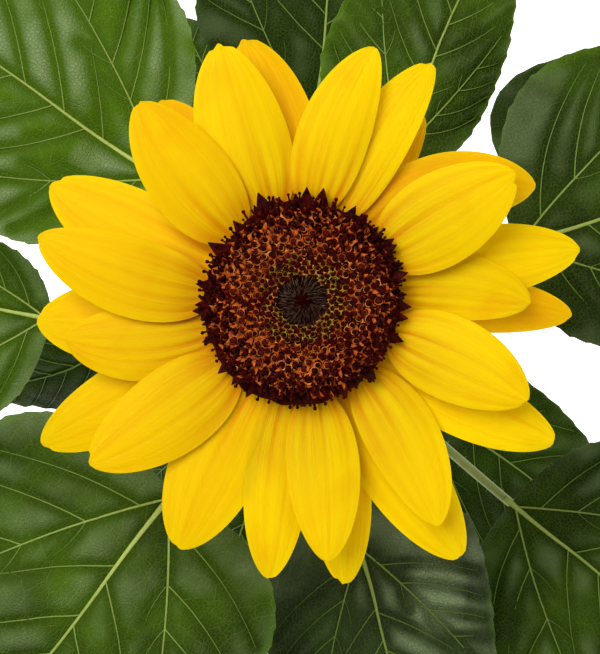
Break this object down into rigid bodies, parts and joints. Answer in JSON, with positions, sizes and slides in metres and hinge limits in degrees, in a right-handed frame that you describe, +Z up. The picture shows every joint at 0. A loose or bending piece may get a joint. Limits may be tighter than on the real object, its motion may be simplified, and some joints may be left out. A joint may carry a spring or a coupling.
{
  "type": "sunflower plant",
  "caption": "Dwarf sunflower plant in full flower: one upright stem with spiral heart-shaped leaves and a single large yellow-rayed head with a dark disc facing the sky.",
  "frame": {"origin": "centre of the flat cut under the stem, at ground level", "axes": "+Z up along the plant; +Y points to the top of the picture and +X to its right, as the head is seen from above"},
  "size_m": [0.3601, 0.3526, 0.5279],
  "materials": {
    "stem": "light green, ribbed and hairy",
    "leaf": "mid to dark green with pale veins, satin",
    "involucre": "green, hairy bracts",
    "petal": "bright warm yellow, finely ribbed, satin",
    "disc": "dark red-brown florets with a darker, olive centre"
  },
  "bodies": {
    "root": {"stem": "stem", "leaf_01": "leaf", "leaf_02": "leaf", "leaf_03": "leaf", "leaf_04": "leaf", "leaf_05": "leaf", "leaf_06": "leaf", "leaf_07": "leaf", "leaf_08": "leaf", "leaf_09": "leaf", "leaf_10": "leaf", "leaf_11": "leaf", "leaf_12": "leaf", "leaf_13": "leaf", "leaf_14": "leaf", "leaf_15": "leaf", "leaf_16": "leaf", "leaf_17": "leaf", "involucre": "involucre", "petal_01": "petal", "petal_02": "petal", "petal_03": "petal", "petal_04": "petal", "petal_05": "petal", "petal_06": "petal", "petal_07": "petal", "petal_08": "petal", "petal_09": "petal", "petal_10": "petal", "petal_11": "petal", "petal_12": "petal", "petal_13": "petal", "petal_14": "petal", "petal_15": "petal", "petal_16": "petal", "petal_17": "petal", "petal_18": "petal", "petal_19": "petal", "petal_20": "petal", "petal_21": "petal", "petal_22": "petal", "petal_23": "petal", "petal_24": "petal", "petal_25": "petal", "petal_26": "petal", "disc": "disc"}
  },
  "joints": []
}
